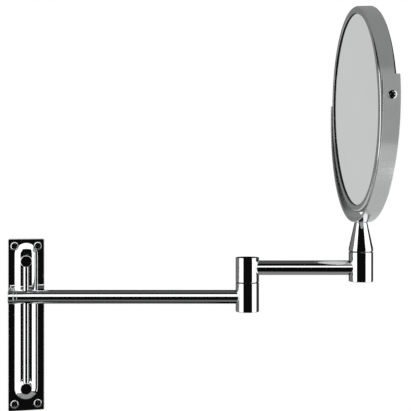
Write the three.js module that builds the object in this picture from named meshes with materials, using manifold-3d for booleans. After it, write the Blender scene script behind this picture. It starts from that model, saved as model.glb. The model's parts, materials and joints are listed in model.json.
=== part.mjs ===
// Extendable shaving mirror: a round, double-sided mirror in a half-ring yoke, carried by two
// swing arms that slide up and down a rod on a wall plate.
// Millimetres, +Z up. The origin is the centre of the wall plate's back face, the wall is at
// Y = 0 and the user stands on the -Y side.
import * as THREE from 'three';
import * as BufferGeometryUtils from 'three/addons/utils/BufferGeometryUtils.js';
import Module from 'manifold-3d';

const wasm = await Module();
wasm.setup();

// ---------------------------------------------------------------- driving dimensions
const DEGREE = Math.PI / 180;
const FIT = 0.1; // gap between pieces that seat on or in one another
const RUN = 0.08; // radial clearance of a turning or sliding fit
const SIDES = { small: 16, usual: 32, wide: 64 }; // facets round a turned piece

// wall bracket
const PLATE = { width: 36, height: 174.5, depth: 2.5, corner: 1.8, ease: 0.5 };
const BASE = {
  flat: 5.7, crown: 4.4, reach: 67.9, sideFrom: 22 * DEGREE, sideTo: 53 * DEGREE, sideRadius: 13.2,
};
const WALL_SCREW = { x: 11.5, z: 80, head: 3.9, shank: 2, length: 18 };
const RAIL_LIFT = 3.7; // middle of the base, posts and rod above the plate's centre
const POST = { z: 62.5, radius: 5.75, front: 31.2 };
const ROD = { radius: 3, standoff: 25.7, inPost: 3.4 };

// arms
const ARM_HEIGHT = 31; // arm 1 above the plate's centre, as stored
const SWING_OUT = 13 * DEGREE; // arm 1 turned away from the wall, as stored
const ARM_1 = { length: 218, radius: 6.75, wall: 1.5, start: -7.8 };
const ARM_2 = { length: 112, radius: 7.15, wall: 1.5, height: 28.7 };
const BUSH = { radius: 4, halfLength: 3.3 };
const KNOB = { radius: 7.4, inner: -11.4, outer: -17 };
const KNUCKLE = { radius: 11.5, bottom: -14.4, split: 14.0, top: 39 };
const UPRIGHT = { radius: 11.85, bottom: 15.2, split: 44.3, coneTop: 73.5, coneRadius: 6.2, lip: 2.6 };
const WASHER_DEPTH = 0.5;
const BOLT = { radius: 3, head: 5.5, bore: 7.5, plug: 1.5, spring: 0.7 };

// mirror head
const HEAD_TURN = 2.3 * DEGREE; // yoke about the upright's axis, as stored
const HEAD_TILT = -1.6 * DEGREE; // mirror about its pivots, as stored
const YOKE = { outer: 110, thickness: 3, width: 15.2, rise: 18 };
const FRAME = { radius: 100, width: 16, opening: 93.4, groove: 97, lip: 1.5, round: 2.5 };
const GLASS = { radius: 96.7, depth: 3, curvature: 1400 };
const PIVOT = { radius: 2.5, head: 3.8, headDepth: 2, spacer: 4.5 };

// ---------------------------------------------------------------- materials
const chrome = () => new THREE.MeshStandardMaterial({ color: 0xd9dbde, metalness: 1, roughness: 0.06 });
const satin = () => new THREE.MeshStandardMaterial({ color: 0xb9bbbe, metalness: 1, roughness: 0.25 });
const steel = () => new THREE.MeshStandardMaterial({ color: 0x9a9c9f, metalness: 1, roughness: 0.35 });
const silvered = () => new THREE.MeshStandardMaterial({ color: 0xe8ebee, metalness: 1, roughness: 0.01 });
const nylon = () => new THREE.MeshStandardMaterial({ color: 0x2b2c2e, metalness: 0, roughness: 0.5 });

// ---------------------------------------------------------------- solids
function toManifold(geometry) {
  const bare = geometry.index ? geometry.toNonIndexed() : geometry.clone();
  for (const name of Object.keys(bare.attributes)) {
    if (name !== 'position') bare.deleteAttribute(name);
  }
  const merged = BufferGeometryUtils.mergeVertices(bare, 1e-4);
  const mesh = new wasm.Mesh({
    numProp: 3,
    vertProperties: Float32Array.from(merged.attributes.position.array),
    triVerts: Uint32Array.from(merged.index.array),
  });
  return new wasm.Manifold(mesh);
}

function toGeometry(solid) {
  const mesh = solid.getMesh();
  const geometry = new THREE.BufferGeometry();
  geometry.setAttribute('position', new THREE.BufferAttribute(Float32Array.from(mesh.vertProperties), 3));
  geometry.setIndex(new THREE.BufferAttribute(Uint32Array.from(mesh.triVerts), 1));
  return geometry;
}

function cut(geometry, ...tools) {
  let solid = toManifold(geometry);
  for (const tool of tools) solid = solid.subtract(toManifold(tool));
  return toGeometry(solid);
}

// A solid of revolution about Z. The profile is a list of [radius, height] pairs, walked so that
// the solid is on its left; it closes on the axis or on itself.
function turned(profile, segments = SIDES.usual) {
  const points = profile.map(([radius, height]) => new THREE.Vector2(radius, height));
  const onAxis = profile[0][0] === 0 && profile.at(-1)[0] === 0;
  if (!onAxis) points.push(points[0].clone());
  return toGeometry(toManifold(new THREE.LatheGeometry(points, segments).rotateX(Math.PI / 2)));
}

const alongX = (geometry) => geometry.rotateY(Math.PI / 2);
const towardsUser = (geometry) => geometry.rotateX(Math.PI / 2);

// A rod from low to high with both end edges chamfered.
function bar(radius, low, high, chamfer = 0, segments = SIDES.usual) {
  if (chamfer === 0) return turned([[0, low], [radius, low], [radius, high], [0, high]], segments);
  return turned([
    [0, low], [radius - chamfer, low], [radius, low + chamfer],
    [radius, high - chamfer], [radius - chamfer, high], [0, high],
  ], segments);
}

const sleeve = (outer, inner, low, high, segments = SIDES.usual) =>
  turned([[inner, low], [outer, low], [outer, high], [inner, high]], segments);

// Points of an arc as [radius, height] pairs round a centre.
function arc([centreRadius, centreHeight], radius, from, to, steps = 3) {
  return Array.from({ length: steps + 1 }, (_, i) => {
    const angle = from + ((to - from) * i) / steps;
    return [centreRadius + radius * Math.cos(angle), centreHeight + radius * Math.sin(angle)];
  });
}

// A closed skin through outlines of equal point counts, capped at both ends.
function loft(outlines) {
  const count = outlines[0].length;
  const index = [];
  outlines.slice(1).forEach((_, row) => {
    for (let i = 0; i < count; i++) {
      const a = row * count + i;
      const b = row * count + ((i + 1) % count);
      index.push(a, b, b + count, a, b + count, a + count);
    }
  });
  const last = (outlines.length - 1) * count;
  for (let i = 1; i < count - 1; i++) {
    index.push(0, i + 1, i, last, last + i, last + i + 1);
  }
  const geometry = new THREE.BufferGeometry();
  geometry.setAttribute('position', new THREE.Float32BufferAttribute(outlines.flat(2), 3));
  geometry.setIndex(index);
  return geometry;
}

// A rectangle with round corners in the X-Z plane at depth y, walked so that it faces the user.
function roundedOutline(halfWidth, halfHeight, radius, y, steps = 6) {
  const corners = [[1, 1, 0], [-1, 1, 1], [-1, -1, 2], [1, -1, 3]];
  return corners.flatMap(([signX, signZ, quarter]) => Array.from({ length: steps + 1 }, (_, i) => {
    const angle = (quarter + i / steps) * (Math.PI / 2);
    return [
      signX * (halfWidth - radius) + radius * Math.cos(angle),
      y,
      signZ * (halfHeight - radius) + radius * Math.sin(angle),
    ];
  }));
}

// A cross recess for a screwdriver, sunk from height into a head whose axis is Z.
function crossRecess(height, reach, depth, width = 1.1) {
  const blades = [0, Math.PI / 2].map((turn) =>
    toManifold(new THREE.BoxGeometry(2 * reach, width, 2 * depth).rotateZ(turn).translate(0, 0, height)));
  return toGeometry(blades[0].add(blades[1]));
}

// A hexagon socket sunk from height, the radius measured to its corners.
const hexRecess = (height, depth, radius = 2.9) =>
  new THREE.CylinderGeometry(radius, radius, 2 * depth, 6).rotateX(Math.PI / 2).translate(0, 0, height);

function piece(group, name, geometry, material) {
  const mesh = new THREE.Mesh(geometry, material);
  mesh.name = name;
  group.add(mesh);
  return mesh;
}

// ---------------------------------------------------------------- wall bracket
function addWallScrew(group, name, x, z) {
  const seat = PLATE.depth;
  const screw = turned([
    [0, -WALL_SCREW.length], [WALL_SCREW.shank, 3 - WALL_SCREW.length], [WALL_SCREW.shank, seat - 1.9],
    [WALL_SCREW.head, seat - FIT], [WALL_SCREW.head - 0.1, seat + 0.3], [2.9, seat + 0.75],
    [0, seat + 1.05],
  ], SIDES.small);
  const headed = cut(screw, crossRecess(seat + 1.1, 2.2, 1.4));
  piece(group, name, towardsUser(headed).translate(x, 0, z), steel());
}

function addPost(group, name, side) {
  const foot = PLATE.depth + BASE.crown + FIT;
  const body = towardsUser(bar(POST.radius, foot, POST.front, 0.4)).translate(0, 0, side * POST.z);
  const rodSocket = bar(ROD.radius + RUN, -ROD.inPost - FIT, POST.radius + 1)
    .rotateX(side > 0 ? Math.PI : 0).translate(0, -ROD.standoff, side * POST.z);
  const screwHole = towardsUser(bar(2.1, foot - 1, foot + 9, 0, SIDES.small)).translate(0, 0, side * POST.z);
  piece(group, name, cut(body, rodSocket, screwHole), chrome());
}

// Countersunk screw from behind the plate into the post.
function addPostScrew(group, name, side) {
  const tip = PLATE.depth + BASE.crown + 8;
  const screw = turned([
    [0, 0.3], [3.8, 0.3], [3.8, 0.6], [2, 2.3], [2, tip], [0, tip],
  ], SIDES.small);
  const headed = cut(screw, crossRecess(0.3, 1.9, 1.1));
  piece(group, name, towardsUser(headed).translate(0, 0, side * POST.z), steel());
}

function wallBracket() {
  const group = new THREE.Group();
  const sides = [1, -1];

  const halfWidth = PLATE.width / 2;
  const halfHeight = PLATE.height / 2;
  const blank = loft([
    roundedOutline(halfWidth, halfHeight, PLATE.corner, 0),
    roundedOutline(halfWidth, halfHeight, PLATE.corner, -PLATE.depth + PLATE.ease),
    roundedOutline(halfWidth - PLATE.ease, halfHeight - PLATE.ease, PLATE.corner - PLATE.ease, -PLATE.depth),
  ]);
  const headHole = WALL_SCREW.head + 0.3;
  const countersink = turned([
    [0, -1], [2.3, -1], [2.3, 0.4], [headHole, PLATE.depth], [headHole, PLATE.depth + 1],
    [0, PLATE.depth + 1],
  ], SIDES.small);
  const crownTop = PLATE.depth + BASE.crown;
  const postSink = turned([
    [0, -1], [4.1, -1], [4.1, 0.6], [2.3, 2.3], [2.3, crownTop + 1], [0, crownTop + 1],
  ], SIDES.small);
  const corners = sides.flatMap((sideZ) =>
    sides.map((sideX) => [sideX * WALL_SCREW.x, sideZ * WALL_SCREW.z]));
  const wallHoles = corners.map(([x, z]) => towardsUser(countersink.clone()).translate(x, 0, z));
  const postHoles = sides.map((side) => towardsUser(postSink.clone()).translate(0, 0, side * POST.z));
  const liftedHoles = postHoles.map((hole) => hole.clone().translate(0, 0, RAIL_LIFT));
  piece(group, 'wall_plate', cut(blank, ...wallHoles, ...liftedHoles), chrome());

  // The raised base: a stadium whose convex sides fall from the flat strip to the plate, notched
  // beside the upper wall screws.
  const rail = new THREE.Group();
  rail.position.z = RAIL_LIFT;
  group.add(rail);
  const foot = -PLATE.depth - FIT;
  const sideRings = Array.from({ length: 7 }, (_, i) => {
    const angle = BASE.sideTo + ((BASE.sideFrom - BASE.sideTo) * i) / 6;
    const radius = BASE.flat + BASE.sideRadius * (Math.sin(angle) - Math.sin(BASE.sideFrom));
    const fall = BASE.sideRadius * (Math.cos(BASE.sideFrom) - Math.cos(angle));
    return roundedOutline(radius, BASE.reach + radius, radius, -PLATE.depth - BASE.crown + fall, 10);
  });
  const rim = BASE.flat + BASE.sideRadius * (Math.sin(BASE.sideTo) - Math.sin(BASE.sideFrom));
  const base = loft([roundedOutline(rim, BASE.reach + rim, rim, foot, 10), ...sideRings.slice(1)]);
  const notches = corners.map(([x, z]) =>
    towardsUser(bar(WALL_SCREW.head + 0.4, 0, 12)).translate(x, 0, z - RAIL_LIFT));
  piece(rail, 'rail_base', cut(base, ...postHoles, ...notches), chrome());

  addPost(rail, 'upper_post', 1);
  addPost(rail, 'lower_post', -1);
  const rodEnd = POST.z + ROD.inPost - FIT;
  piece(rail, 'slide_rod', bar(ROD.radius, -rodEnd, rodEnd).translate(0, -ROD.standoff, 0), chrome());
  addPostScrew(rail, 'upper_post_screw', 1);
  addPostScrew(rail, 'lower_post_screw', -1);
  corners.forEach(([x, z], i) => addWallScrew(group, `wall_screw_${i + 1}`, x, z));
  return group;
}

// ---------------------------------------------------------------- arm 1, its knob and the bush
function addRodEnd(group) {
  const bush = sleeve(BUSH.radius, ROD.radius + RUN, -BUSH.halfLength, BUSH.halfLength);
  piece(group, 'rod_bush', bush, nylon());

  const tubeEnd = ARM_1.length - 5;
  const tube = alongX(sleeve(ARM_1.radius, ARM_1.radius - ARM_1.wall, ARM_1.start, tubeEnd));
  piece(group, 'arm1_tube', cut(tube, bar(ROD.radius + 0.35, -10, 10)), chrome());

  const insert = alongX(bar(ARM_1.radius - ARM_1.wall - FIT, ARM_1.start, 12));
  const studHole = alongX(bar(2.6, ARM_1.start - 1, 0));
  piece(group, 'arm1_insert', cut(insert, bar(BUSH.radius + RUN, -10, 10), studHole), steel());

  const collarLow = KNOB.inner + FIT;
  const collarHigh = ARM_1.start - FIT;
  const collar = turned([
    [2.6, collarLow], [6.2, collarLow], [6.9, collarLow + 0.5], [6.9, collarHigh - 0.5],
    [6.2, collarHigh], [2.6, collarHigh],
  ]);
  piece(group, 'knob_collar', alongX(collar), chrome());

  const face = KNOB.outer;
  const knob = turned([
    [0, face], [KNOB.radius - 0.9, face], [KNOB.radius, face + 0.9],
    [KNOB.radius, KNOB.inner - 0.4], [KNOB.radius - 0.4, KNOB.inner], [0, KNOB.inner],
  ]);
  const studSocket = bar(2.6, KNOB.inner - 3.1, KNOB.inner + 1);
  piece(group, 'lock_knob', alongX(cut(knob, studSocket)), chrome());
  piece(group, 'lock_stud', alongX(bar(2.5, KNOB.inner - 3, -BUSH.radius - 0.3, 0.3, SIDES.small)), steel());
}

// Bolt with a socket head that hangs in a counterbore, a disc spring under the head, a plug that
// closes the counterbore, and a friction washer in the split.
function addPivotHardware(group, prefix, { bottom, split, threadTop }) {
  const plugTop = bottom + BOLT.plug;
  const plugRadius = BOLT.bore - FIT;
  const plug = turned([
    [0, bottom], [plugRadius - 0.4, bottom], [plugRadius, bottom + 0.4], [plugRadius, plugTop],
    [0, plugTop],
  ]);
  piece(group, `${prefix}_plug`, plug, chrome());
  const headLow = plugTop + FIT;
  const headHigh = headLow + 2.5;
  const bolt = turned([
    [0, headLow], [BOLT.head, headLow], [BOLT.head, headHigh], [BOLT.radius, headHigh],
    [BOLT.radius, threadTop], [0, threadTop],
  ]);
  piece(group, `${prefix}_bolt`, cut(bolt, hexRecess(headLow, 1.6)), steel());
  const springLow = headHigh + FIT;
  const spring = sleeve(BOLT.head, BOLT.radius + RUN, springLow, springLow + BOLT.spring);
  piece(group, `${prefix}_spring_washer`, spring, steel());
  const washerLow = split + FIT;
  const washer = sleeve(KNUCKLE.radius - 0.5, BOLT.radius + RUN, washerLow, washerLow + WASHER_DEPTH);
  piece(group, `${prefix}_washer`, washer, nylon());
}

// Counterbore and shank bore for that bolt, from the bottom face up.
function boltBore(bottom, top) {
  const floor = bottom + BOLT.plug + FIT + 2.5 + FIT + BOLT.spring + FIT;
  return turned([
    [0, bottom - 1], [BOLT.bore, bottom - 1], [BOLT.bore, floor], [BOLT.radius + RUN, floor],
    [BOLT.radius + RUN, top], [0, top],
  ]);
}

function armOne() {
  const group = new THREE.Group();
  addRodEnd(group);
  const knuckle = bar(KNUCKLE.radius, KNUCKLE.bottom, KNUCKLE.split, 0.4);
  const tubeSocket = alongX(bar(ARM_1.radius + FIT, -20, -5 + FIT));
  const lower = cut(knuckle, tubeSocket, boltBore(KNUCKLE.bottom, KNUCKLE.split + 1));
  piece(group, 'knuckle_lower', lower, chrome()).position.x = ARM_1.length;
  return group;
}

// ---------------------------------------------------------------- arm 2
function armTwo() {
  const group = new THREE.Group();
  const upperLow = KNUCKLE.split + WASHER_DEPTH + 2 * FIT;
  const boltTop = upperLow + 5.9;
  addPivotHardware(group, 'elbow', { bottom: KNUCKLE.bottom, split: KNUCKLE.split, threadTop: boltTop });

  const knuckle = bar(KNUCKLE.radius, upperLow, KNUCKLE.top, 0.4);
  const boltHole = bar(BOLT.radius + RUN, upperLow - 1, boltTop + FIT);
  const tubeSocket = alongX(bar(ARM_2.radius + FIT, 5 - FIT, 20)).translate(0, 0, ARM_2.height);
  piece(group, 'knuckle_upper', cut(knuckle, boltHole, tubeSocket), chrome());

  const tube = sleeve(ARM_2.radius, ARM_2.radius - ARM_2.wall, 5, ARM_2.length - 5);
  piece(group, 'arm2_tube', alongX(tube).translate(0, 0, ARM_2.height), chrome());

  const upright = bar(UPRIGHT.radius, UPRIGHT.bottom, UPRIGHT.split, 0.4);
  const endSocket = alongX(bar(ARM_2.radius + FIT, -20, -5 + FIT)).translate(0, 0, ARM_2.height);
  const lower = cut(upright, endSocket, boltBore(UPRIGHT.bottom, UPRIGHT.split + 1));
  piece(group, 'post_lower', lower, chrome()).position.x = ARM_2.length;
  return group;
}

// ---------------------------------------------------------------- swivel head: cone and yoke
function swivelHead() {
  const group = new THREE.Group();
  const coneLow = UPRIGHT.split + WASHER_DEPTH + 2 * FIT;
  const boltTop = coneLow + 11;
  const screwSeat = UPRIGHT.coneTop + YOKE.thickness + 0.4;
  addPivotHardware(group, 'swivel', { bottom: UPRIGHT.bottom, split: UPRIGHT.split, threadTop: boltTop });

  const cone = turned([
    [0, coneLow], [UPRIGHT.radius - 0.4, coneLow], [UPRIGHT.radius, coneLow + 0.4],
    [UPRIGHT.radius, coneLow + UPRIGHT.lip], [UPRIGHT.radius - 0.25, coneLow + UPRIGHT.lip + 1.2],
    [UPRIGHT.coneRadius, UPRIGHT.coneTop - 0.3], [UPRIGHT.coneRadius - 0.3, UPRIGHT.coneTop],
    [0, UPRIGHT.coneTop],
  ]);
  const boltHole = bar(BOLT.radius + RUN, coneLow - 1, boltTop + FIT);
  const screwHole = bar(2.1, UPRIGHT.coneTop - 9, UPRIGHT.coneTop + 1);
  piece(group, 'post_cone', cut(cone, boltHole, screwHole), chrome());

  const centre = UPRIGHT.coneTop + FIT + YOKE.outer;
  const rise = Math.asin(YOKE.rise / YOKE.outer);
  const inner = YOKE.outer - YOKE.thickness;
  const outline = new THREE.Shape();
  outline.absarc(0, 0, YOKE.outer, Math.PI - rise, 2 * Math.PI + rise, false);
  outline.absarc(0, 0, inner, 2 * Math.PI + rise, Math.PI - rise, true);
  const ease = 0.4;
  const band = new THREE.ExtrudeGeometry(outline, {
    depth: YOKE.width - 2 * ease, curveSegments: 30, bevelThickness: ease, bevelSize: ease,
    bevelOffset: -ease, bevelSegments: 1,
  });
  // The outline's axes become Y and Z, and the depth runs along X, centred on the upright.
  band.translate(0, 0, ease - YOKE.width / 2).rotateX(Math.PI / 2).rotateZ(Math.PI / 2);
  band.translate(0, 0, centre);
  const reach = YOKE.outer + 5;
  const pivotHole = towardsUser(bar(PIVOT.radius + RUN, -reach, reach)).translate(0, 0, centre);
  const seatHole = bar(2.1, UPRIGHT.coneTop - 2, screwSeat + 3);
  piece(group, 'yoke', cut(band, pivotHole, seatHole), satin());

  const screw = turned([
    [0, UPRIGHT.coneTop - 8], [2, UPRIGHT.coneTop - 8], [2, screwSeat], [4, screwSeat],
    [4, screwSeat + 0.8], [3, screwSeat + 1.5], [0, screwSeat + 1.6],
  ], SIDES.small);
  piece(group, 'yoke_screw', cut(screw, crossRecess(screwSeat + 1.6, 2, 1)), steel());
  return group;
}

// ---------------------------------------------------------------- the double-sided mirror
// Round pieces are turned about Z with the plain side at -Z, then laid over so that the plain
// side looks along -X.
function addPivot(group, suffix, side) {
  const turn = (geometry) => towardsUser(geometry).rotateZ(side > 0 ? 0 : Math.PI);
  const seat = YOKE.outer + FIT;
  const screw = turned([
    [0, FRAME.groove + 0.3], [PIVOT.radius, FRAME.groove + 0.3], [PIVOT.radius, seat], [PIVOT.head, seat],
    [PIVOT.head, seat + 1.2], [PIVOT.head - 0.6, seat + 1.8], [0, seat + PIVOT.headDepth],
  ], SIDES.small);
  const headed = cut(screw, crossRecess(seat + PIVOT.headDepth, 2.7, 1.1, 0.9));
  piece(group, `pivot_screw_${suffix}`, turn(headed), steel());
  const spacerEnd = YOKE.outer - YOKE.thickness - 0.2;
  const spacer = sleeve(PIVOT.spacer, PIVOT.radius + RUN, FRAME.radius + FIT, spacerEnd);
  piece(group, `pivot_spacer_${suffix}`, turn(spacer), chrome());
}

function mirrorDisc() {
  const group = new THREE.Group();
  const half = FRAME.width / 2;
  const shelf = half - FRAME.lip;
  const corner = FRAME.radius - FRAME.round;
  const ring = turned([
    [FRAME.groove, shelf], [FRAME.groove, -shelf], [FRAME.opening, -shelf], [FRAME.opening, -half + 0.4],
    [FRAME.opening + 0.4, -half],
    ...arc([corner, -half + FRAME.round], FRAME.round, -Math.PI / 2, 0),
    ...arc([corner, half - FRAME.round], FRAME.round, 0, Math.PI / 2),
    [FRAME.opening + 0.4, half], [FRAME.opening, half - 0.4], [FRAME.opening, shelf],
  ], SIDES.wide);
  const pivotHole = bar(PIVOT.radius + RUN, -FRAME.radius - 5, FRAME.radius + 5).rotateX(Math.PI / 2);
  piece(group, 'mirror_frame', alongX(cut(ring, pivotHole)), satin());

  const face = shelf - FIT;
  const plain = bar(GLASS.radius, -face, -face + GLASS.depth, 0, SIDES.wide);
  piece(group, 'plain_glass', alongX(plain), silvered());

  // The magnifying side is bent glass, hollow towards +X.
  const steps = 4;
  const bowl = (rim) => Array.from({ length: steps + 1 }, (_, i) => {
    const radius = (GLASS.radius * (steps - i)) / steps;
    const sag = (GLASS.radius ** 2 - radius ** 2) / (2 * GLASS.curvature);
    return [radius, rim - sag];
  });
  const bent = turned([...bowl(face - GLASS.depth).reverse(), ...bowl(face)], SIDES.wide);
  piece(group, 'magnifying_glass', alongX(bent), silvered());

  const back = face - GLASS.depth - FIT;
  const spacer = sleeve(GLASS.radius, GLASS.radius - 2.2, -back, back - 0.3, SIDES.wide);
  piece(group, 'glass_spacer', alongX(spacer), nylon());

  addPivot(group, 'near', 1);
  addPivot(group, 'far', -1);
  return group;
}

// ---------------------------------------------------------------- assembly
const shavingMirror = new THREE.Group();
shavingMirror.add(wallBracket());

const swing = armOne();
swing.position.set(0, -ROD.standoff, ARM_HEIGHT);
swing.rotation.z = -SWING_OUT;
shavingMirror.add(swing);

const elbow = armTwo();
elbow.position.x = ARM_1.length;
swing.add(elbow);

const head = swivelHead();
head.position.x = ARM_2.length;
head.rotation.z = HEAD_TURN;
elbow.add(head);

const disc = mirrorDisc();
disc.position.z = UPRIGHT.coneTop + FIT + YOKE.outer;
disc.rotation.y = HEAD_TILT;
head.add(disc);

export default shavingMirror;
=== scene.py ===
"""Extendable shaving mirror: a wall bracket with a slide rod, two swing arms, and a round
double-sided mirror in a half-ring yoke. Metres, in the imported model's frame."""
import json
import math

import bmesh
import bpy
import numpy as np
from mathutils import Matrix, Vector


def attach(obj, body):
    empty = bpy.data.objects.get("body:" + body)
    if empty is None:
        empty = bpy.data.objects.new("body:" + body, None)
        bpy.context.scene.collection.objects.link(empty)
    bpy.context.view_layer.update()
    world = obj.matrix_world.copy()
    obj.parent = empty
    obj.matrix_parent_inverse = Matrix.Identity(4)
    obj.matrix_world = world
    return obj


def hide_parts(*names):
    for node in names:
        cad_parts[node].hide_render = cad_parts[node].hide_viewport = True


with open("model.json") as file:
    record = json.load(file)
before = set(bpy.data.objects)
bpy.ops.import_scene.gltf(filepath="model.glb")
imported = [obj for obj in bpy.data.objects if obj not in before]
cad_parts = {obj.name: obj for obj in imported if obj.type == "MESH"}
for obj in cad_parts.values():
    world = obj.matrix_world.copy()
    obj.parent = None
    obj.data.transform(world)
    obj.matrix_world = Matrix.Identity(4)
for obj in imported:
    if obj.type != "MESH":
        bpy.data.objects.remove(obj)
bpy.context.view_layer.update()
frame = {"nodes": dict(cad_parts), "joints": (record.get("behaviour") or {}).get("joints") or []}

MM = 0.001
UP = Vector((0, 0, 1))
FILLET_STEPS = 5

# facets round a turned piece
SMALL_ROUND = 48
SCREW_ROUND = 64
ROUND = 96
TUBE_ROUND = 128
DISC_ROUND = 256

# sizes that the CAD nodes' boxes don't give
PLATE_CORNER = 1.8 * MM
PLATE_EASE = 0.6 * MM
BASE_FLAT = 5.7 * MM
BASE_SIDE = (math.radians(22), math.radians(53))  # slope of the base's side, top and foot
WALL_SHANK = 1.9 * MM
WALL_CROWN = 1.05 * MM  # height of a wall screw's head over the plate
NOTCH_GAP = 0.4 * MM
TUBE_WALL = 1.5 * MM
ROD_HOLE = 3.35 * MM
STUD_HOLE = 2.6 * MM
SOCKET_GAP = 0.1 * MM
COUNTERBORE = 7.5 * MM
COUNTERBORE_DEPTH = 5.3 * MM
WASHER_BORE = 3.1 * MM
CONE_LIP = 2.6 * MM
CONE_TIP = 6.2 * MM
YOKE_THICKNESS = 3 * MM
YOKE_EASE = 0.5 * MM
PIVOT_SHANK = 2.5 * MM
PIVOT_HOLE = 2.6 * MM
SEAT_HOLE = 2.1 * MM
FRAME_OPENING = 93.4 * MM
FRAME_GROOVE = 97 * MM
FRAME_LIP = 1.5 * MM
FRAME_ROUND = 2.4 * MM
GLASS_DEPTH = 3 * MM
GLASS_CURVATURE = 1400 * MM  # radius that the magnifying glass is bent to

# ---------------------------------------------------------------- where things are
joints = {joint["name"]: joint for joint in frame["joints"]}


def axes_at(origin, x, z=UP):
    """A local frame with X along x and Z along z."""
    x = Vector(x).normalized()
    z = Vector(z).normalized()
    turn = Matrix((x, z.cross(x), z)).transposed()
    return Matrix.Translation(origin) @ turn.to_4x4()


def thin_direction(cad):
    """The direction in which a CAD node is thinnest."""
    points = np.array([v.co for v in frame["nodes"][cad].data.vertices])
    return Vector(np.linalg.svd(points - points.mean(0), full_matrices=False)[2][2])


def span(cad, place):
    """Lowest and highest corners of a CAD node in a local frame."""
    inverse = place.inverted()
    points = np.array([inverse @ v.co for v in frame["nodes"][cad].data.vertices])
    return Vector(points.min(0)), Vector(points.max(0))


def drum(cad, place):
    """Radius, low end and high end of a CAD node turned about the local Z axis."""
    low, high = span(cad, place)
    return high.x, low.z, high.z


swing = Vector(joints["arm_swing"]["pos_m"])
elbow = Vector(joints["elbow"]["pos_m"])
swivel = Vector(joints["mirror_swivel"]["pos_m"])
tilt = Vector(joints["mirror_tilt"]["pos_m"])
tilt_axis = Vector(joints["mirror_tilt"]["axis"]).normalized()
head_foot = Vector((swivel.x, swivel.y, elbow.z))

WALL = Matrix.Identity(4)
ARM_1 = axes_at(swing, elbow - swing)
ARM_2 = axes_at(elbow, head_foot - elbow)
HEAD = axes_at(head_foot, tilt_axis.cross(UP))
glass_normal = thin_direction("plain_glass")
if glass_normal.dot(HEAD.col[0].to_3d()) < 0:
    glass_normal.negate()
DISC = axes_at(tilt, glass_normal, glass_normal.cross(tilt_axis))

ALONG_X = Matrix.Rotation(math.pi / 2, 4, "Y")  # a piece's own Z laid along +X
TO_USER = Matrix.Rotation(math.pi / 2, 4, "X")  # a piece's own Z laid along -Y


def at(x=0.0, y=0.0, z=0.0):
    return Matrix.Translation((x, y, z))


# ---------------------------------------------------------------- materials
def new_material(name):
    material = bpy.data.materials.new(name)
    material.use_nodes = True
    tree = material.node_tree
    return material, tree, tree.nodes["Principled BSDF"]


def node(tree, kind, **inputs):
    made = tree.nodes.new(kind)
    for name, value in inputs.items():
        made.inputs[name].default_value = value
    return made


def noise(tree, scale, detail=2.0, stretch=(1, 1, 1)):
    """Noise in the piece's own coordinates, drawn out along the axes where stretch is small."""
    coordinates = tree.nodes.new("ShaderNodeTexCoord")
    mapping = tree.nodes.new("ShaderNodeMapping")
    mapping.inputs["Scale"].default_value = stretch
    made = node(tree, "ShaderNodeTexNoise", Scale=scale, Detail=detail)
    tree.links.new(coordinates.outputs["Object"], mapping.inputs["Vector"])
    tree.links.new(mapping.outputs["Vector"], made.inputs["Vector"])
    return made.outputs["Fac"]


def ramp(tree, source, low, high, start=0.0, end=1.0):
    """Maps a value between start and end to colours or numbers between low and high."""
    made = tree.nodes.new("ShaderNodeMapRange")
    made.inputs["From Min"].default_value = start
    made.inputs["From Max"].default_value = end
    if isinstance(low, tuple):
        made.data_type = "FLOAT_VECTOR"
        made.inputs[7].default_value = (start,) * 3
        made.inputs[8].default_value = (end,) * 3
        made.inputs[9].default_value = low
        made.inputs[10].default_value = high
        tree.links.new(source, made.inputs["Vector"])
        return made.outputs["Vector"]
    made.inputs["To Min"].default_value = low
    made.inputs["To Max"].default_value = high
    tree.links.new(source, made.inputs["Value"])
    return made.outputs["Result"]


def finish_metal(name, colours, roughness, grain, wave=0.0, stretch=(1, 1, 1)):
    """A metal whose colour, roughness and surface vary slightly over each piece."""
    material, tree, shader = new_material(name)
    shader.inputs["Metallic"].default_value = 1.0
    smudge = noise(tree, 60, 3)
    tree.links.new(ramp(tree, smudge, *colours, 0.3, 0.7), shader.inputs["Base Color"])
    fine = noise(tree, 900, 2, stretch)
    tree.links.new(ramp(tree, fine, *roughness, 0.3, 0.7), shader.inputs["Roughness"])
    height = tree.nodes.new("ShaderNodeMath")
    height.operation = "MULTIPLY_ADD"
    height.inputs[1].default_value = wave
    tree.links.new(noise(tree, 45, 1), height.inputs[0])
    tree.links.new(fine, height.inputs[2])
    bump = node(tree, "ShaderNodeBump", Strength=grain, Distance=0.0002)
    tree.links.new(height.outputs[0], bump.inputs["Height"])
    tree.links.new(bump.outputs["Normal"], shader.inputs["Normal"])
    return material


CHROME = finish_metal("polished_chrome", ((0.84, 0.85, 0.86), (0.88, 0.885, 0.89)), (0.015, 0.035),
                      grain=0.012, wave=1.0)
SATIN = finish_metal("satin_chrome", ((0.66, 0.665, 0.67), (0.70, 0.705, 0.71)), (0.13, 0.19),
                     grain=0.04, wave=0.5, stretch=(0.05, 1, 1))
STEEL = finish_metal("bright_steel", ((0.62, 0.625, 0.63), (0.70, 0.70, 0.70)), (0.10, 0.2),
                     grain=0.05, stretch=(1, 1, 0.1))


def mirror_material():
    """Silvered glass: a sharp silver layer under a clear coat, with the faintest haze."""
    material, tree, shader = new_material("silvered_glass")
    shader.inputs["Metallic"].default_value = 1.0
    shader.inputs["Coat Weight"].default_value = 0.6
    shader.inputs["Coat Roughness"].default_value = 0.0
    cloud = noise(tree, 25, 3)
    tree.links.new(ramp(tree, cloud, (0.92, 0.93, 0.935), (0.95, 0.955, 0.96), 0.3, 0.7),
                   shader.inputs["Base Color"])
    tree.links.new(ramp(tree, noise(tree, 140, 4), 0.0, 0.02, 0.45, 0.75),
                   shader.inputs["Roughness"])
    return material


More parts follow.
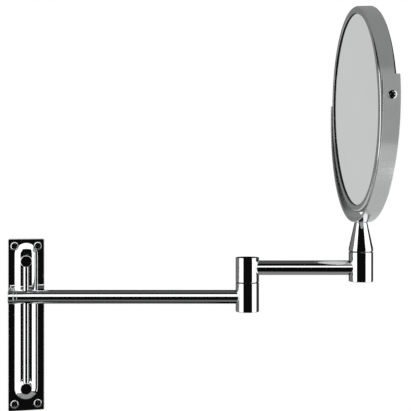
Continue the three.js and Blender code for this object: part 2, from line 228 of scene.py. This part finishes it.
def nylon_material():
    """Black moulded nylon with a fine moulding texture."""
    material, tree, shader = new_material("black_nylon")
    shader.inputs["Specular IOR Level"].default_value = 0.35
    grain = noise(tree, 1500, 3)
    tree.links.new(ramp(tree, noise(tree, 80, 2), (0.012, 0.012, 0.013), (0.022, 0.022, 0.023)),
                   shader.inputs["Base Color"])
    tree.links.new(ramp(tree, grain, 0.42, 0.58), shader.inputs["Roughness"])
    bump = node(tree, "ShaderNodeBump", Strength=0.3, Distance=0.0001)
    tree.links.new(grain, bump.inputs["Height"])
    tree.links.new(bump.outputs["Normal"], shader.inputs["Normal"])
    return material


MIRROR = mirror_material()
NYLON = nylon_material()
FINISH = {"chrome": CHROME, "satin_chrome": SATIN, "steel": STEEL, "mirror_glass": MIRROR,
          "nylon": NYLON}


# ---------------------------------------------------------------- mesh making
def filleted(profile, closed):
    """Profile points (radius, height[, fillet]) with an arc at each corner that has a fillet."""
    count = len(profile)
    points = []
    for i, (radius, height, *fillet) in enumerate(profile):
        here = Vector((radius, height))
        inside = closed or 0 < i < count - 1
        if not fillet or not inside:
            points.append(here)
            continue
        to_last = Vector(profile[i - 1][:2]) - here
        to_next = Vector(profile[(i + 1) % count][:2]) - here
        angle = to_last.angle(to_next)
        reach = min(fillet[0] / math.tan(angle / 2), 0.48 * to_last.length, 0.48 * to_next.length)
        size = reach * math.tan(angle / 2)
        start = here + to_last.normalized() * reach
        end = here + to_next.normalized() * reach
        middle = (to_last.normalized() + to_next.normalized()).normalized()
        centre = here + middle * (size / math.sin(angle / 2))
        for step in range(FILLET_STEPS + 1):
            share = step / FILLET_STEPS
            spoke = (start - centre).lerp(end - centre, share).normalized() * size
            points.append(centre + spoke)
    return points


def lathe(profile, sides=ROUND):
    """A solid of revolution about Z. The profile is walked with the solid on its left."""
    closed = profile[0][0] > 0 or profile[-1][0] > 0
    points = filleted(profile, closed)
    mesh = bmesh.new()
    rings = []
    for radius, height in points:
        if radius < 1e-7:
            rings.append([mesh.verts.new((0, 0, height))])
            continue
        rings.append([
            mesh.verts.new((radius * math.cos(turn), radius * math.sin(turn), height))
            for turn in (2 * math.pi * i / sides for i in range(sides))
        ])
    pairs = list(zip(rings, rings[1:]))
    if closed:
        pairs.append((rings[-1], rings[0]))
    for low, high in pairs:
        for i in range(sides):
            j = (i + 1) % sides
            if len(low) == 1:
                mesh.faces.new((low[0], high[j], high[i]))
            elif len(high) == 1:
                mesh.faces.new((low[i], low[j], high[0]))
            else:
                mesh.faces.new((low[i], low[j], high[j], high[i]))
    return mesh


def skin(outlines):
    """A closed skin through outlines of equal point counts, capped at both ends."""
    mesh = bmesh.new()
    rows = [[mesh.verts.new(point) for point in outline] for outline in outlines]
    count = len(rows[0])
    for low, high in zip(rows, rows[1:]):
        for i in range(count):
            j = (i + 1) % count
            mesh.faces.new((low[i], low[j], high[j], high[i]))
    mesh.faces.new(rows[0][::-1])
    mesh.faces.new(rows[-1])
    bmesh.ops.recalc_face_normals(mesh, faces=mesh.faces)
    return mesh


def rounded_outline(half_width, half_height, radius, y, steps=10):
    """A rectangle with round corners in the X-Z plane at depth y."""
    points = []
    for quarter, (sign_x, sign_z) in enumerate(((1, 1), (-1, 1), (-1, -1), (1, -1))):
        for i in range(steps + 1):
            angle = (quarter + i / steps) * math.pi / 2
            points.append((
                sign_x * (half_width - radius) + radius * math.cos(angle),
                y,
                sign_z * (half_height - radius) + radius * math.sin(angle),
            ))
    return points


def mesh_object(name, mesh, place):
    data = bpy.data.meshes.new(name)
    mesh.to_mesh(data)
    mesh.free()
    made = bpy.data.objects.new(name, data)
    bpy.context.scene.collection.objects.link(made)
    made.matrix_world = place
    return made


def carve(target, *cutters):
    """Cuts the cutters out of the target and removes them."""
    for cutter in cutters:
        cut = target.modifiers.new("cut", "BOOLEAN")
        cut.object = cutter
        cut.solver = "EXACT"
    bpy.context.view_layer.update()
    depsgraph = bpy.context.evaluated_depsgraph_get()
    carved = bpy.data.meshes.new_from_object(target.evaluated_get(depsgraph))
    target.modifiers.clear()
    target.data = carved
    for cutter in cutters:
        bpy.data.objects.remove(cutter)


def cross_recess(place, height, reach, depth, width):
    """A tapering cross that sinks a screwdriver recess from height downwards."""
    half = width / 2
    arm = [(reach, -half), (reach, half), (half, half)]
    outline = [(x * c - y * s, x * s + y * c)
               for c, s in ((1, 0), (0, 1), (-1, 0), (0, -1)) for x, y in arm]
    floor = [(0.5 * x, 0.5 * y, height - depth) for x, y in outline]
    mouth = [(1.1 * x, 1.1 * y, height + 0.2 * depth) for x, y in outline]
    return mesh_object("recess", skin([floor, mouth]), place)


def smooth(made, angle=38):
    made.data.polygons.foreach_set("use_smooth", [True] * len(made.data.polygons))
    made.data.set_sharp_from_angle(angle=math.radians(angle))
    weighted = made.modifiers.new("weighted_normals", "WEIGHTED_NORMAL")
    weighted.keep_sharp = True
    weighted.weight = 80


def belong(made, body, slot, *nodes):
    """Gives a finished piece its body, its finish and the CAD nodes that it stands for."""
    made.data.materials.clear()
    made.data.materials.append(FINISH[slot])
    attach(made, body)
    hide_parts(*nodes)
    return made


def turned(name, cad, body, slot, place, profile, cutters=(), sides=ROUND):
    """A turned piece that stands for one CAD node."""
    made = mesh_object(name, lathe(profile, sides), place)
    if cutters:
        carve(made, *cutters)
    smooth(made)
    return belong(made, body, slot, cad)


def barrel(radius, low, high, fillet):
    return [(0, low), (radius, low, fillet), (radius, high, fillet), (0, high)]


def pipe(radius, bore, low, high, fillet):
    return [(bore, low, fillet), (radius, low, fillet), (radius, high, fillet), (bore, high, fillet)]


# ---------------------------------------------------------------- wall bracket
WALL_SCREWS = [f"wall_screw_{i}" for i in (1, 2, 3, 4)]


def wall_bracket():
    low, high = span("wall_plate", WALL)
    front = low.y
    outlines = [rounded_outline(high.x, high.z, PLATE_CORNER, high.y)]
    for step in range(FILLET_STEPS + 1):
        angle = step / FILLET_STEPS * math.pi / 2
        inset = PLATE_EASE * (1 - math.cos(angle))
        outlines.append(rounded_outline(
            high.x - inset, high.z - inset, PLATE_CORNER - inset,
            front + PLATE_EASE * (1 - math.sin(angle))))
    plate = mesh_object("wall_plate_finished", skin(outlines), WALL)
    depth = -front
    sinks = []
    for screw in WALL_SCREWS:
        head, _, _ = screw_size(screw)
        profile = [
            (0, -MM), (2.3 * MM, -MM), (2.3 * MM, 0.4 * MM), (head + 0.3 * MM, depth - 0.3 * MM),
            (head + 0.6 * MM, depth), (head + 0.6 * MM, depth + MM), (0, depth + MM),
        ]
        sinks.append(mesh_object("sink", lathe(profile, SMALL_ROUND), screw_place(screw)))
    carve(plate, *sinks)
    smooth(plate, 30)
    belong(plate, "wall_bracket", "chrome", "wall_plate")
    for screw in WALL_SCREWS:
        wall_screw(screw)
    rail_base()
    for name in ("upper_post", "lower_post"):
        middle = sum(span(name, WALL), Vector()) / 2
        place = at(0, 0, middle.z) @ TO_USER
        radius, foot, face = drum(name, place)
        turned(f"{name}_finished", name, "wall_bracket", "chrome", place,
               barrel(radius, foot, face, 0.7 * MM))
    radius, low, high = drum("slide_rod", at(y=swing.y))
    turned("slide_rod_finished", "slide_rod", "wall_bracket", "chrome", at(y=swing.y),
           barrel(radius, low, high, 0.3 * MM))


def screw_place(name):
    low, high = span(name, WALL)
    return at((low.x + high.x) / 2, 0, (low.z + high.z) / 2) @ TO_USER


def screw_size(name):
    return drum(name, screw_place(name))


def wall_screw(name):
    """A raised countersunk screw with a cross recess."""
    head, tip, crown = screw_size(name)
    place = screw_place(name)
    seat = crown - WALL_CROWN
    profile = [
        (0, tip), (WALL_SHANK, tip + 3 * MM), (WALL_SHANK, seat - 1.9 * MM),
        (head, seat - 0.15 * MM, 0.1 * MM),
        (head, seat + 0.3 * MM, 0.3 * MM), (head - 0.75 * MM, seat + 0.9 * MM, 0.5 * MM), (0, crown),
    ]
    turned(f"{name}_finished", name, "wall_bracket", "steel", place, profile,
           [cross_recess(place, crown, 2.2 * MM, 1.4 * MM, 0.9 * MM)], SCREW_ROUND)


def rail_base():
    """A stadium whose convex sides fall from the flat strip to the plate, notched by the screws."""
    low, high = span("rail_base", WALL)
    rim, foot, crown = high.x, high.y, low.y
    middle = (low.z + high.z) / 2
    reach = high.z - middle - rim
    start, end = BASE_SIDE
    radius = (rim - BASE_FLAT) / (math.sin(end) - math.sin(start))
    corner_steps = 24
    outlines = [rounded_outline(rim, reach + rim, rim, foot, corner_steps)]
    steps = 18
    for step in range(steps, -1, -1):
        angle = start + (end - start) * step / steps
        width = BASE_FLAT + radius * (math.sin(angle) - math.sin(start))
        fall = radius * (math.cos(start) - math.cos(angle))
        outlines.append(rounded_outline(width, reach + width, width, crown + fall, corner_steps))
    base = mesh_object("rail_base_finished", skin(outlines), at(z=middle))
    notches = []
    for screw in WALL_SCREWS:
        head, _, _ = screw_size(screw)
        notch = lathe(barrel(head + NOTCH_GAP, 0, 12 * MM, 0), SCREW_ROUND)
        notches.append(mesh_object("notch", notch, screw_place(screw)))
    carve(base, *notches)
    smooth(base, 20)
    belong(base, "wall_bracket", "chrome", "rail_base")


# ---------------------------------------------------------------- arms
def arm_one():
    along = ARM_1 @ ALONG_X
    radius, start, end = drum("arm1_tube", along)
    rod_hole = mesh_object("rod_hole", lathe(barrel(ROD_HOLE, -10 * MM, 10 * MM, 0), SCREW_ROUND), ARM_1)
    turned("arm1_tube_finished", "arm1_tube", "arm_1", "chrome", along,
           pipe(radius, radius - TUBE_WALL, start, end, 0.15 * MM), [rod_hole], TUBE_ROUND)

    radius, low, high = drum("knob_collar", along)
    turned("knob_collar_finished", "knob_collar", "arm_1", "chrome", along,
           pipe(radius, STUD_HOLE, low, high, 0.6 * MM))

    radius, low, high = drum("lock_knob", along)
    dish = 0.3 * MM
    turned("lock_knob_finished", "lock_knob", "lock_knob", "chrome", along, [
        (0, low + dish), (radius - 2.4 * MM, low + dish), (radius - 2.0 * MM, low, 0.2 * MM),
        (radius, low, 0.8 * MM), (radius, high, 0.5 * MM), (0, high),
    ])

    place = at(*elbow) @ ARM_1.to_3x3().to_4x4()
    knuckle("knuckle_lower", "arm_1", place, "arm1_tube", along, -1)
    pivot_trim("elbow", "arm_1", place)


def knuckle(cad, body, place, tube, tube_place, side):
    """A drum with a socket that takes its tube's end; a drum below its tube (side < 0) also gets a bolt
    counterbore from below.
    """
    radius, low, high = drum(cad, place)
    tube_radius, tube_start, tube_end = drum(tube, tube_place)
    reach = 20 * MM
    if side < 0:
        ends = tube_end - reach, tube_end + SOCKET_GAP
    else:
        ends = tube_start - SOCKET_GAP, tube_start + reach
    socket = mesh_object("socket", lathe(barrel(tube_radius + SOCKET_GAP, *ends, 0)), tube_place)
    cutters = [socket]
    if side < 0:
        counterbore = lathe(barrel(COUNTERBORE, low - MM, low + COUNTERBORE_DEPTH, 0))
        cutters.append(mesh_object("counterbore", counterbore, place))
    turned(f"{cad}_finished", cad, body, "chrome", place, barrel(radius, low, high, 0.55 * MM), cutters)


def pivot_trim(prefix, body, place):
    """The plug that closes the bolt's counterbore, and the friction washer in the split."""
    radius, low, high = drum(f"{prefix}_plug", place)
    turned(f"{prefix}_plug_finished", f"{prefix}_plug", body, "chrome", place, [
        (0, low + 0.15 * MM), (radius - 1.6 * MM, low + 0.05 * MM, 2 * MM), (radius, low, 0.35 * MM),
        (radius, high), (0, high),
    ])
    radius, low, high = drum(f"{prefix}_washer", place)
    turned(f"{prefix}_washer_finished", f"{prefix}_washer", body, "nylon", place,
           pipe(radius, WASHER_BORE, low, high, 0.15 * MM))


def arm_two():
    place = at(*elbow) @ ARM_2.to_3x3().to_4x4()
    height = sum(span("arm2_tube", place), Vector()).z / 2
    along = place @ at(0, 0, height) @ ALONG_X
    knuckle("knuckle_upper", "arm_2", place, "arm2_tube", along, 1)
    radius, start, end = drum("arm2_tube", along)
    turned("arm2_tube_finished", "arm2_tube", "arm_2", "chrome", along,
           pipe(radius, radius - TUBE_WALL, start, end, 0.15 * MM), (), TUBE_ROUND)
    upright = at(*head_foot) @ ARM_2.to_3x3().to_4x4()
    knuckle("post_lower", "arm_2", upright, "arm2_tube", along, -1)
    pivot_trim("swivel", "arm_2", upright)


# ---------------------------------------------------------------- head
def swivel_head():
    radius, low, high = drum("post_cone", HEAD)
    turned("post_cone_finished", "post_cone", "yoke_head", "chrome", HEAD, [
        (0, low), (radius, low, 0.5 * MM), (radius, low + CONE_LIP, 1.5 * MM),
        (CONE_TIP, high, 0.35 * MM), (0, high),
    ], (), TUBE_ROUND)
    yoke()
    radius, low, high = drum("yoke_screw", HEAD)
    seat = high - 1.6 * MM
    turned("yoke_screw_finished", "yoke_screw", "yoke_head", "steel", HEAD, [
        (0, low), (2 * MM, low, 0.3 * MM), (2 * MM, seat), (radius, seat, 0.2 * MM),
        (radius, seat + 0.8 * MM, 0.6 * MM), (3 * MM, high - 0.1 * MM, 1 * MM), (0, high),
    ], [cross_recess(HEAD, high, 2 * MM, 1 * MM, 0.9 * MM)], SCREW_ROUND)


def yoke():
    """A flat strip rolled to a half ring, with eased edges and square ends."""
    low, high = span("yoke", HEAD)
    centre = tilt.z - HEAD.translation.z
    outer = high.y
    half = high.x
    rise = math.asin((high.z - centre) / outer)
    steps = 160
    corner_steps = 4
    total = math.pi + 2 * rise
    mesh = bmesh.new()
    rows = []
    for step in range(steps + 1):
        angle = math.pi - rise + total * step / steps
        section = []
        for corner, (sign_x, sign_r) in enumerate(((1, 1), (-1, 1), (-1, -1), (1, -1))):
            for i in range(corner_steps + 1):
                turn = (corner + i / corner_steps) * math.pi / 2
                x = sign_x * (half - YOKE_EASE) + YOKE_EASE * math.cos(turn)
                r = sign_r * (YOKE_THICKNESS / 2 - YOKE_EASE) + YOKE_EASE * math.sin(turn)
                radius = outer - YOKE_THICKNESS / 2 + r
                section.append(mesh.verts.new(
                    (x, radius * math.cos(angle), centre + radius * math.sin(angle))))
        rows.append(section)
    count = len(rows[0])
    for near, far in zip(rows, rows[1:]):
        for i in range(count):
            j = (i + 1) % count
            mesh.faces.new((near[i], near[j], far[j], far[i]))
    mesh.faces.new(rows[0][::-1])
    mesh.faces.new(rows[-1])
    bmesh.ops.recalc_face_normals(mesh, faces=mesh.faces)
    band = mesh_object("yoke_finished", mesh, HEAD)
    reach = outer + 5 * MM
    hole = mesh_object("hole", lathe(barrel(PIVOT_HOLE, -reach, reach, 0), SMALL_ROUND),
                       HEAD @ at(z=centre) @ TO_USER)
    seat = mesh_object("seat", lathe(barrel(SEAT_HOLE, low.z - MM, low.z + 6 * MM, 0), SMALL_ROUND), HEAD)
    carve(band, hole, seat)
    smooth(band, 30)
    belong(band, "yoke_head", "satin_chrome", "yoke")


# ---------------------------------------------------------------- the double-sided mirror
def mirror_disc():
    across = DISC @ ALONG_X
    radius, low, high = drum("mirror_frame", across)
    shelf = high - FRAME_LIP
    turned("mirror_frame_finished", "mirror_frame", "mirror", "satin_chrome", across, [
        (FRAME_GROOVE, shelf), (FRAME_GROOVE, -shelf), (FRAME_OPENING, -shelf),
        (FRAME_OPENING, low, 0.5 * MM), (radius, low, FRAME_ROUND), (radius, high, FRAME_ROUND),
        (FRAME_OPENING, high, 0.5 * MM), (FRAME_OPENING, shelf),
    ], (), DISC_ROUND)
    for suffix, sign in (("plain", -1), ("magnifying", 1)):
        inner, outer = sorted((sign * (shelf + 0.05 * MM), sign * (high - 0.5 * MM)))
        bead = mesh_object(f"{suffix}_bead", lathe(pipe(
            FRAME_OPENING + 0.05 * MM, FRAME_OPENING - 0.35 * MM, inner, outer, 0.12 * MM), DISC_ROUND),
            across)
        smooth(bead)
        belong(bead, "mirror", "nylon")

    edge, low, high = drum("plain_glass", across)
    turned("plain_glass_finished", "plain_glass", "mirror", "mirror_glass", across,
           barrel(edge, low, high, 0.3 * MM), (), DISC_ROUND)

    edge, low, high = drum("magnifying_glass", across)
    rings = 24
    radii = [edge * i / rings for i in range(rings + 1)]
    front = [(r, high - (edge ** 2 - r ** 2) / (2 * GLASS_CURVATURE)) for r in radii]
    back = [(r, h - GLASS_DEPTH) for r, h in front]
    turned("magnifying_glass_finished", "magnifying_glass", "mirror", "mirror_glass", across,
           back + front[::-1], (), DISC_ROUND)

    for suffix, side in (("near", 1), ("far", -1)):
        place = DISC @ TO_USER if side > 0 else DISC @ Matrix.Rotation(math.pi, 4, "Z") @ TO_USER
        pivot(suffix, place)


def pivot(suffix, place):
    screw = f"pivot_screw_{suffix}"
    head, low, high = drum(screw, place)
    seat = high - 2 * MM
    turned(f"{screw}_finished", screw, "mirror", "steel", place, [
        (0, low), (PIVOT_SHANK, low, 0.3 * MM), (PIVOT_SHANK, seat), (head, seat, 0.2 * MM),
        (head, seat + 1.2 * MM, 0.7 * MM), (head - 1.2 * MM, high - 0.1 * MM, 1.5 * MM), (0, high),
    ], [cross_recess(place, high, 2.7 * MM, 1.1 * MM, 0.9 * MM)], SCREW_ROUND)
    spacer = f"pivot_spacer_{suffix}"
    radius, low, high = drum(spacer, place)
    turned(f"{spacer}_finished", spacer, "mirror", "chrome", place,
           pipe(radius, PIVOT_HOLE, low, high, 0.4 * MM), (), SCREW_ROUND)


# ---------------------------------------------------------------- studio and camera
def emitter(name, strength):
    material = bpy.data.materials.new(name)
    material.use_nodes = True
    tree = material.node_tree
    tree.nodes.clear()
    glow = tree.nodes.new("ShaderNodeEmission")
    glow.inputs["Color"].default_value = (1, 1, 1, 1)
    glow.inputs["Strength"].default_value = strength
    output = tree.nodes.new("ShaderNodeOutputMaterial")
    tree.links.new(glow.outputs[0], output.inputs["Surface"])
    return material


def panel(name, centre, across, shine, size, radiance, lights=(), skips=()):
    """A soft light panel that the camera doesn't see. across and shine are its wide direction and
    the way it faces. It lights the pieces in lights, or all but those in skips."""
    data = bpy.data.lights.new(name, "AREA")
    data.shape = "RECTANGLE"
    data.size, data.size_y = size
    data.energy = radiance * math.pi * size[0] * size[1]
    made = bpy.data.objects.new(name, data)
    bpy.context.scene.collection.objects.link(made)
    made.matrix_world = axes_at(centre, across, -Vector(shine))
    made.visible_camera = False
    group = bpy.data.collections.new(f"{name}_receivers")
    for piece in lights or skips:
        group.objects.link(bpy.data.objects[f"{piece}_finished"])
    for member in group.collection_objects:
        member.light_linking.link_state = "INCLUDE" if lights else "EXCLUDE"
    made.light_linking.receiver_collection = group


def upright_panel(name, start, end, low, high, radiance, lights=(), skips=()):
    start, end = Vector((*start, 0)), Vector((*end, 0))
    middle = (start + end) / 2
    across = (end - start).normalized()
    shine = UP.cross(across)
    if shine.dot(Vector((0.15, -0.05, 0)) - middle) < 0:
        across, shine = -across, -shine
    panel(name, middle + UP * (low + high) / 2, across, shine,
          ((end - start).length, high - low), radiance, lights, skips)


def level_panel(name, near, far, height, radiance, lights=()):
    (left, front), (right, back) = near, far
    centre = Vector(((left + right) / 2, (front + back) / 2, height))
    panel(name, centre, (1, 0, 0), UP if height < 0 else -UP, (right - left, back - front), radiance,
          lights)


ARM_1_TRIM = ["arm1_tube", "knob_collar", "lock_knob"]
GLASSES = ["plain_glass", "magnifying_glass"]
BRACKET = ["wall_plate", "rail_base", "upper_post", "lower_post", *WALL_SCREWS]
HEAD_BANDS = ["mirror_frame", "yoke"]


def studio():
    upright_panel("left_panel", (-0.32, -0.44), (-0.50, 0.06), -0.45, 0.55, 1.35, skips=GLASSES)
    upright_panel("left_rear_panel", (-0.52, 0.10), (-0.10, 1.0), -0.45, 0.55, 0.18, skips=GLASSES)
    upright_panel("right_panel", (0.47, -0.48), (0.60, -0.12), -0.45, 0.55, 1.35,
                  skips=GLASSES + ["mirror_frame"])
    upright_panel("right_rear_panel", (0.62, -0.08), (0.62, 1.0), -0.45, 0.55, 0.04, skips=GLASSES)
    upright_panel("glass_rear_panel", (-1.6, 1.3), (1.9, 1.3), -0.9, 1.3, 0.575, GLASSES)
    upright_panel("glass_left_panel", (-1.6, -1.9), (-1.6, 1.3), -0.9, 1.3, 0.42, GLASSES)
    upright_panel("glass_right_panel", (1.9, -1.9), (1.9, 1.3), -0.9, 1.3, 0.50, GLASSES)
    upright_panel("glass_front_panel", (-1.6, -1.9), (1.9, -1.9), -0.9, 1.3, 0.46, GLASSES)
    level_panel("glass_over_panel", (-1.6, -1.9), (1.9, 1.3), 1.3, 0.66, GLASSES)
    level_panel("glass_under_panel", (-1.6, -1.9), (1.9, 1.3), -0.9, 0.24, GLASSES)
    upright_panel("rear_band_panel", (-0.4, 1.05), (1.0, 1.05), 0.0, 1.0, 0.25, HEAD_BANDS)
    upright_panel("rear_low_panel", (-0.4, 1.05), (1.0, 1.05), -0.6, 0.0, 0.60, HEAD_BANDS)
    upright_panel("front_panel_1", (-1.2, -2.0), (1.2, -2.2), 0.40, 2.3, 1.35, ARM_1_TRIM)
    upright_panel("front_panel_2", (-1.2, -2.0), (1.2, -2.2), 0.42, 1.35, 1.35, ["arm2_tube"])
    level_panel("overhead_panel", (-0.6, -0.25), (0.6, 0.4), 0.55, 0.09, ARM_1_TRIM + ["arm2_tube"])
    level_panel("under_arm_panel", (-0.5, -0.52), (0.24, -0.15), -0.5, 0.17, ARM_1_TRIM)
    level_panel("under_rear_panel", (-0.5, 0.1), (0.24, 0.8), -0.5, 0.12, ARM_1_TRIM)
    level_panel("under_elbow_panel", (0.05, -0.27), (0.8, 0.5), -0.3, 0.24, ["arm2_tube"])
    level_panel("bracket_panel", (-0.6, -0.6), (0.6, 0.1), 0.6, 1.3, BRACKET)
    level_panel("under_bracket_panel", (-0.6, -0.6), (0.6, 0.1), -0.6, 0.32, BRACKET)
    upright_panel("head_panel", (-0.6, -1.2), (1.2, -1.2), -0.6, 1.0, 0.42, HEAD_BANDS)
    level_panel("under_head_panel", (-0.6, -1.2), (1.2, 1.05), -0.6, 0.60, HEAD_BANDS)
    level_panel("over_head_panel", (-0.6, -1.2), (1.2, 1.05), 1.0, 0.32, HEAD_BANDS)

    world = bpy.data.worlds.new("studio")
    bpy.context.scene.world = world
    world.use_nodes = True
    tree = world.node_tree
    tree.nodes.clear()
    white = node(tree, "ShaderNodeBackground", Color=(1, 1, 1, 1), Strength=1.0)
    room = node(tree, "ShaderNodeBackground", Color=(1, 1, 1, 1), Strength=0.004)
    path = tree.nodes.new("ShaderNodeLightPath")
    mix = tree.nodes.new("ShaderNodeMixShader")
    output = tree.nodes.new("ShaderNodeOutputWorld")
    tree.links.new(path.outputs["Is Camera Ray"], mix.inputs[0])
    tree.links.new(room.outputs[0], mix.inputs[1])
    tree.links.new(white.outputs[0], mix.inputs[2])
    tree.links.new(mix.outputs[0], output.inputs["Surface"])

    floor_mesh = bmesh.new()
    bmesh.ops.create_circle(floor_mesh, cap_ends=True, segments=96, radius=0.7)
    floor = mesh_object("floor", floor_mesh, at(0.15, -0.15, -0.32))
    floor.data.materials.append(emitter("pale_floor", 0.97))
    floor.visible_glossy = False
    floor.visible_diffuse = False


def camera():
    data = bpy.data.cameras.new("camera")
    data.sensor_width = 36
    data.lens = 36 * 770 / 411
    made = bpy.data.objects.new("camera", data)
    bpy.context.scene.collection.objects.link(made)
    right, away, up = (ARM_1.col[i].to_3d() for i in range(3))
    spot = ARM_1 @ Vector((0.1768, -0.7592, 0.0900))
    turn = Matrix((right, up, -away)).transposed()
    made.matrix_world = Matrix.Translation(spot) @ turn.to_4x4()
    bpy.context.scene.camera = made


# ---------------------------------------------------------------- building
camera()
wall_bracket()
arm_one()
arm_two()
swivel_head()
mirror_disc()
studio()

hidden_finishes = {
    "steel": ["upper_post_screw", "lower_post_screw", "arm1_insert", "lock_stud", "elbow_bolt",
              "elbow_spring_washer", "swivel_bolt", "swivel_spring_washer"],
    "nylon": ["rod_bush", "glass_spacer"],
}
for slot_name, names in hidden_finishes.items():
    for name in names:
        data = frame["nodes"][name].data
        data.materials.clear()
        data.materials.append(FINISH[slot_name])

bpy.context.scene.view_settings.view_transform = "Standard"
